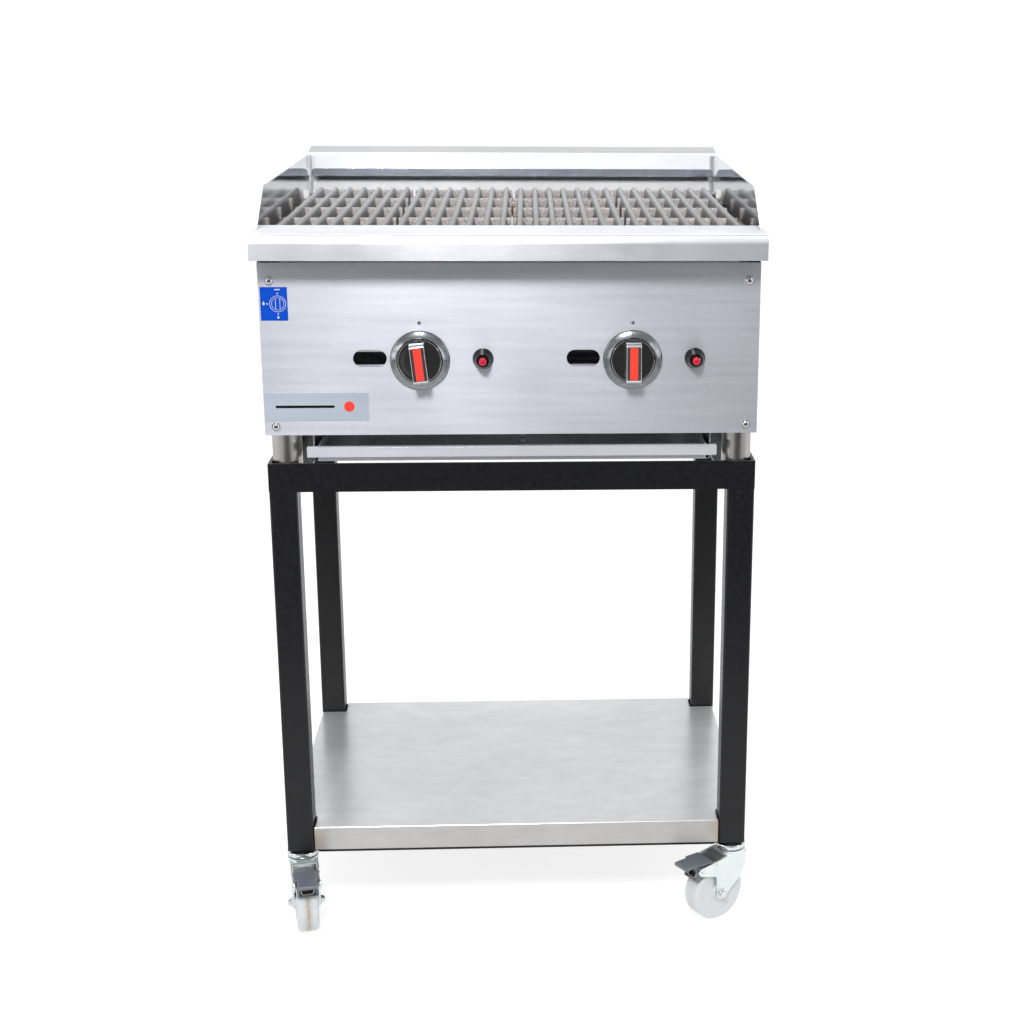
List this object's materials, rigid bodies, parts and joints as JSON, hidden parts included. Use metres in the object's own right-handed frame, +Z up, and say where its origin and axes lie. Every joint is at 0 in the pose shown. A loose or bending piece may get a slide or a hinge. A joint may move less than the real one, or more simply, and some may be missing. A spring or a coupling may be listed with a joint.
{
  "type": "charbroiler grill",
  "caption": "Two-zone gas chargrill with cast grates, splash guards and push-and-turn controls, standing on a wheeled steel stand with an undershelf.",
  "frame": {"origin": "on the floor, in the middle of the footprint", "axes": "+Z up, -Y out of the control panel, +X to the right of a person facing the controls"},
  "size_m": [0.6214, 0.6644, 0.9949],
  "materials": {
    "brushed_steel": "folded stainless sheet with a fine straight brushing",
    "firebox_steel": "stainless sheet, straw and brown heat tint near the burners",
    "panel_steel": "stainless sheet brushed from side to side",
    "screw_steel": "turned stainless screws",
    "ledge_steel": "bright satin stainless, brushed lengthwise",
    "mirror_steel": "nearly mirror-bright stainless with faint vertical brush lines",
    "cast_iron": "bare grey cast iron with a rough cast skin",
    "radiant_steel": "heat-stained stainless",
    "burner_iron": "dark cast iron",
    "copper": "copper with an orange heat tint",
    "ceramic": "glazed white ceramic",
    "pipe_steel": "plain steel pipe",
    "brass": "machined brass",
    "zinc": "bright zinc plate with a faint green-blue cast",
    "chrome": "mirror chrome that reflects dark and light bands",
    "red_plastic": "smooth signal red",
    "black_plastic": "glossy black",
    "crimson_plastic": "smooth crimson",
    "tray_steel": "smooth stainless pan",
    "foot_steel": "turned stainless tube",
    "blue_card": "printed blue film",
    "plate_steel": "satin foil name plate, left blank",
    "black_paint": "satin black paint on steel",
    "shelf_steel": "dull brushed stainless, tinted brown at the corners",
    "nylon": "white nylon, dirty along the tread",
    "grey_plastic": "slate grey moulded nylon"
  },
  "bodies": {
    "root": {"left_side_panel": "brushed_steel", "right_side_panel": "brushed_steel", "rear_panel": "brushed_steel", "base_pan": "brushed_steel", "firebox": "firebox_steel", "front_panel": "panel_steel", "panel_screws": "screw_steel", "front_ledge": "ledge_steel", "left_splash_guard": "mirror_steel", "right_splash_guard": "mirror_steel", "rear_splash_guard": "ledge_steel", "flue_deflector": "mirror_steel", "left_radiant": "radiant_steel", "right_radiant": "radiant_steel", "left_burner": "burner_iron", "right_burner": "burner_iron", "pilot_burners": "copper", "pilot_electrodes": "ceramic", "gas_manifold": "pipe_steel", "gas_valves": "brass", "knob_bezels": "chrome", "igniter_bodies": "black_plastic", "gas_injectors": "brass", "tray_runners": "brushed_steel", "feet": "foot_steel", "dial_label": "blue_card", "name_plate": "plate_steel", "stand_frame": "black_paint", "undershelf": "shelf_steel", "caster_heads": "zinc"},
    "grate_1_body": {"grate_1": "cast_iron"},
    "grate_2_body": {"grate_2": "cast_iron"},
    "grate_3_body": {"grate_3": "cast_iron"},
    "grate_4_body": {"grate_4": "cast_iron"},
    "tray_body": {"drip_tray": "tray_steel"},
    "left_plunger_body": {"left_valve_plunger": "zinc"},
    "left_knob_body": {"left_valve_spindle": "zinc", "left_knob": "chrome", "left_knob_insert": "red_plastic"},
    "left_button_body": {"left_igniter_button": "crimson_plastic"},
    "right_plunger_body": {"right_valve_plunger": "zinc"},
    "right_knob_body": {"right_valve_spindle": "zinc", "right_knob": "chrome", "right_knob_insert": "red_plastic"},
    "right_button_body": {"right_igniter_button": "crimson_plastic"},
    "front_left_swivel": {"front_left_fork": "zinc", "front_left_axle": "zinc"},
    "front_left_roller": {"front_left_wheel": "nylon"},
    "front_right_swivel": {"front_right_fork": "zinc", "front_right_axle": "zinc"},
    "front_right_roller": {"front_right_wheel": "nylon"},
    "back_left_swivel": {"back_left_fork": "zinc", "back_left_axle": "zinc"},
    "back_left_roller": {"back_left_wheel": "nylon"},
    "back_right_swivel": {"back_right_fork": "zinc", "back_right_axle": "zinc"},
    "back_right_roller": {"back_right_wheel": "nylon"},
    "left_pedal_body": {"left_brake_pedal": "grey_plastic"},
    "right_pedal_body": {"right_brake_pedal": "grey_plastic"}
  },
  "joints": [
    {"name": "grate_1_lift", "type": "slide", "parent": "root", "child": "grate_1_body", "axis": [0, 0, 1], "range_m": [0, 0.14]},
    {"name": "grate_2_lift", "type": "slide", "parent": "root", "child": "grate_2_body", "axis": [0, 0, 1], "range_m": [0, 0.14]},
    {"name": "grate_3_lift", "type": "slide", "parent": "root", "child": "grate_3_body", "axis": [0, 0, 1], "range_m": [0, 0.14]},
    {"name": "grate_4_lift", "type": "slide", "parent": "root", "child": "grate_4_body", "axis": [0, 0, 1], "range_m": [0, 0.14]},
    {"name": "drip_tray_slide", "type": "slide", "parent": "root", "child": "tray_body", "axis": [0, -1, 0], "range_m": [0, 0.4]},
    {"name": "left_knob_push", "type": "slide", "parent": "root", "child": "left_plunger_body", "axis": [0, 1, 0], "range_m": [0, 0.003], "stiffness_N_per_m": 1500},
    {"name": "left_knob_turn", "type": "hinge", "parent": "left_plunger_body", "child": "left_knob_body", "pos_m": [-0.1125, -0.2714, 0.7715], "axis": [0, -1, 0], "range_deg": [-6, 174]},
    {"name": "left_igniter_push", "type": "slide", "parent": "root", "child": "left_button_body", "axis": [0, 1, 0], "range_m": [0, 0.005], "stiffness_N_per_m": 1200},
    {"name": "right_knob_push", "type": "slide", "parent": "root", "child": "right_plunger_body", "axis": [0, 1, 0], "range_m": [0, 0.003], "stiffness_N_per_m": 1500},
    {"name": "right_knob_turn", "type": "hinge", "parent": "right_plunger_body", "child": "right_knob_body", "pos_m": [0.1485, -0.2714, 0.7715], "axis": [0, -1, 0], "range_deg": [0, 180]},
    {"name": "right_igniter_push", "type": "slide", "parent": "root", "child": "right_button_body", "axis": [0, 1, 0], "range_m": [0, 0.005], "stiffness_N_per_m": 1200},
    {"name": "front_left_caster_swivel", "type": "hinge", "parent": "root", "child": "front_left_swivel", "pos_m": [-0.2885, -0.2439, 0.1], "axis": [0, 0, 1], "continuous": true},
    {"name": "front_left_wheel_spin", "type": "hinge", "parent": "front_left_swivel", "child": "front_left_roller", "pos_m": [-0.28292, -0.27134, 0.04], "axis": [0.9799, 0.1994, 0], "continuous": true},
    {"name": "front_right_caster_swivel", "type": "hinge", "parent": "root", "child": "front_right_swivel", "pos_m": [0.2885, -0.2439, 0.1], "axis": [0, 0, 1], "continuous": true},
    {"name": "front_right_wheel_spin", "type": "hinge", "parent": "front_right_swivel", "child": "front_right_roller", "pos_m": [0.26502, -0.25915, 0.04], "axis": [0.5446, -0.8387, 0], "continuous": true},
    {"name": "back_left_caster_swivel", "type": "hinge", "parent": "root", "child": "back_left_swivel", "pos_m": [-0.2885, 0.1631, 0.1], "axis": [0, 0, 1], "continuous": true},
    {"name": "back_left_wheel_spin", "type": "hinge", "parent": "back_left_swivel", "child": "back_left_roller", "pos_m": [-0.27892, 0.18941, 0.04], "axis": [-0.9397, 0.342, 0], "continuous": true},
    {"name": "back_right_caster_swivel", "type": "hinge", "parent": "root", "child": "back_right_swivel", "pos_m": [0.2885, 0.1631, 0.1], "axis": [0, 0, 1], "continuous": true},
    {"name": "back_right_wheel_spin", "type": "hinge", "parent": "back_right_swivel", "child": "back_right_roller", "pos_m": [0.27892, 0.18941, 0.04], "axis": [-0.9397, -0.342, 0], "continuous": true},
    {"name": "left_brake_press", "type": "hinge", "parent": "front_left_swivel", "child": "left_pedal_body", "pos_m": [-0.27634, -0.30368, 0.08], "axis": [0.9799, 0.1994, 0], "range_deg": [0, 10]},
    {"name": "right_brake_press", "type": "hinge", "parent": "front_right_swivel", "child": "right_pedal_body", "pos_m": [0.23734, -0.27712, 0.08], "axis": [0.5446, -0.8387, 0], "range_deg": [0, 10]}
  ]
}
